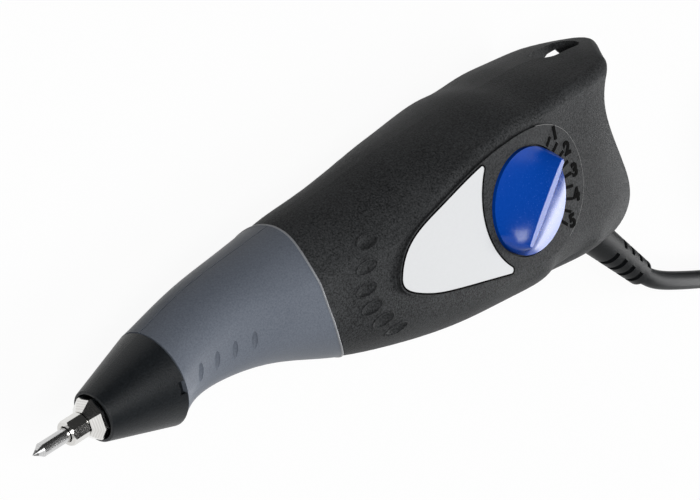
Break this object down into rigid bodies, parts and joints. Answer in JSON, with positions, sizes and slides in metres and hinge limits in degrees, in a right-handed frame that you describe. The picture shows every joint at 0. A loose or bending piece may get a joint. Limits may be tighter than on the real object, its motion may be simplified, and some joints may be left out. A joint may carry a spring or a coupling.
{
  "type": "electric engraver",
  "caption": "Hand-held electric engraver with a vibrating carbide point, soft grip, stroke dial with numbered settings, rear slide switch and a coiled mains lead.",
  "frame": {"origin": "the engraving point's end, on the drive axis", "axes": "+X along the drive axis from the point to the tail, +Y to the top ridge, +Z to the dial side; Z = 0 is the parting plane of the housing halves"},
  "size_m": [0.3435, 0.1265, 0.0441],
  "materials": {
    "housing_black": "fine moulded texture",
    "grip_grey": "satin soft overmould",
    "dark_steel": "dark oxide",
    "steel": "ground",
    "nickel": "bright nickel plate",
    "bronze": "sintered bronze",
    "copper": "enamelled copper wire",
    "rubber": "smooth",
    "felt": "pressed felt",
    "bobbin_plastic": "moulded",
    "white_plastic": "moulded",
    "dial_blue": "gloss moulded",
    "label_white": "smooth plate"
  },
  "bodies": {
    "housing": {"left_housing": "housing_black", "right_housing": "housing_black", "housing_screws": "dark_steel", "left_grip": "grip_grey", "right_grip": "grip_grey", "nose_cone": "housing_black", "nose_seal": "felt", "front_bush": "bronze", "front_buffer": "rubber", "field_core": "dark_steel", "coil_bobbin": "bobbin_plastic", "coil_winding": "copper", "pole_piece": "dark_steel", "rear_bush": "bronze", "dial_washer": "white_plastic", "label_plate": "label_white", "switch_body": "housing_black", "strain_relief": "rubber", "cord_clamp": "bobbin_plastic", "clamp_screws": "dark_steel", "power_cord": "rubber", "cord_coil": "rubber", "cord_tie": "rubber", "plug_body": "rubber", "plug_pins": "nickel"},
    "carriage": {"drive_shaft": "steel", "chuck_body": "nickel", "collet": "steel", "engraving_tip": "steel", "carbide_point": "dark_steel", "stop_collar": "steel", "armature": "steel", "spring_cup": "steel", "return_spring": "steel"},
    "nut": {"collet_nut": "nickel"},
    "dial": {"stroke_dial": "dial_blue", "dial_spindle": "steel", "spindle_clip": "dark_steel"},
    "spring_seat": {"stroke_slide": "white_plastic"},
    "switch": {"switch_slider": "housing_black"}
  },
  "joints": [
    {"name": "stroke", "type": "slide", "parent": "housing", "child": "carriage", "axis": [1, 0, 0], "range_m": [0, 0.0016], "stiffness_N_per_m": 800, "springref_m": -0.001, "deforming": ["return_spring"]},
    {"name": "nut_turn", "type": "hinge", "parent": "carriage", "child": "nut", "pos_m": [0.0125, 0, 0], "axis": [1, 0, 0], "range_deg": [-180, 0]},
    {"name": "dial_turn", "type": "hinge", "parent": "housing", "child": "dial", "pos_m": [0.1426, -0.0034, 0.0193], "axis": [0, 0, -1], "range_deg": [0, 80]},
    {"name": "seat_slide", "type": "slide", "parent": "housing", "child": "spring_seat", "axis": [1, 0, 0], "range_m": [0, 0.0014]},
    {"name": "switch_slide", "type": "slide", "parent": "housing", "child": "switch", "axis": [0, -1, 0], "range_m": [0, 0.003]}
  ],
  "couplings": [
    {"joint": "dial_turn", "follows": "seat_slide", "rad_per_m": 997}
  ]
}
